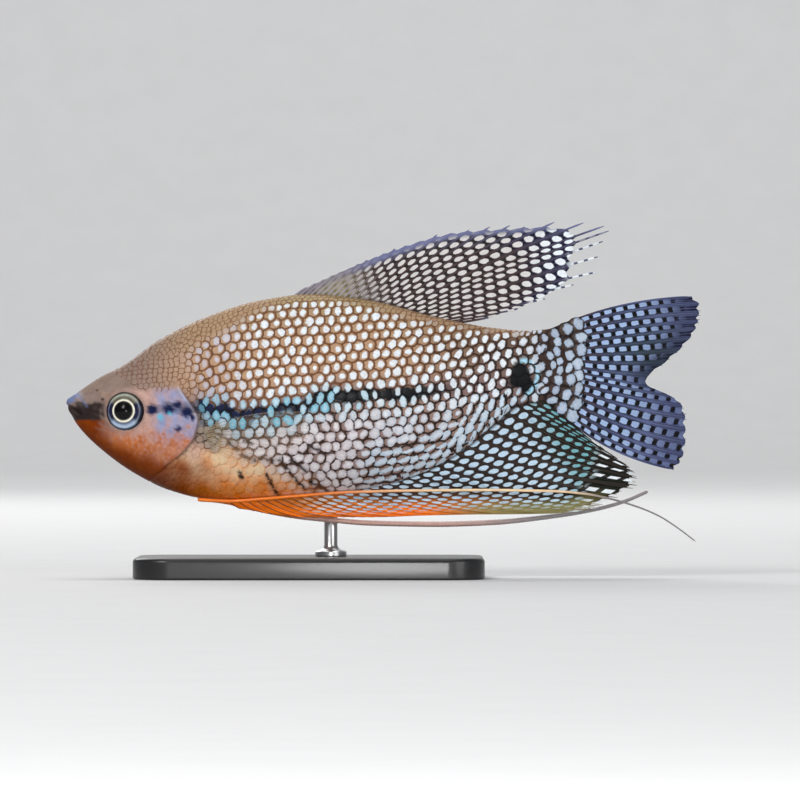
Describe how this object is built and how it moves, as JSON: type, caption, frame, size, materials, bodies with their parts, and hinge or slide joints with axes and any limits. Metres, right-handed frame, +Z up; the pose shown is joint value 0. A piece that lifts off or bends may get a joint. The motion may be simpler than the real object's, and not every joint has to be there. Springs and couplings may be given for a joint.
{
  "type": "pearl gourami",
  "caption": "Life-size model of an adult male pearl gourami swimming level, with spread dorsal and tail fins, a long anal fin and thread-like pelvic fins, on a small display stand.",
  "frame": {"origin": "on the floor under the middle of the fish's length, in its mid-plane", "axes": "+X towards the tail, +Y towards the fish's right side, +Z up"},
  "size_m": [0.12, 0.036, 0.0673],
  "materials": {
    "head_skin": "moist skin, tan above and orange red on the throat",
    "flank_skin": "moist scales, brown net with a pale pearl on each scale",
    "eye": "clear wet eye, black pupil in a gold ring",
    "spotted_fin": "smoky fin membrane with pale spots between the rays",
    "anal_fin": "orange at the front, smoky with pale spots behind",
    "clear_fin": "clear, faintly yellow fin",
    "orange_thread": "orange thread, paler at its end",
    "mauve_thread": "mauve grey thread",
    "stand_base": "satin black",
    "stand_steel": "satin steel"
  },
  "bodies": {
    "root": {"head": "head_skin", "torso": "flank_skin", "tail_stalk": "flank_skin", "gill_cover_left": "head_skin", "gill_cover_right": "head_skin", "eye_left": "eye", "eye_right": "eye", "dorsal_fin": "spotted_fin", "anal_fin": "anal_fin", "caudal_fin_upper_lobe": "spotted_fin", "caudal_fin_lower_lobe": "spotted_fin", "pectoral_fin_left": "clear_fin", "pectoral_fin_right": "clear_fin", "pelvic_fin_left": "orange_thread", "pelvic_fin_right": "mauve_thread", "stand_base": "stand_base", "stand_rod": "stand_steel"}
  },
  "joints": []
}
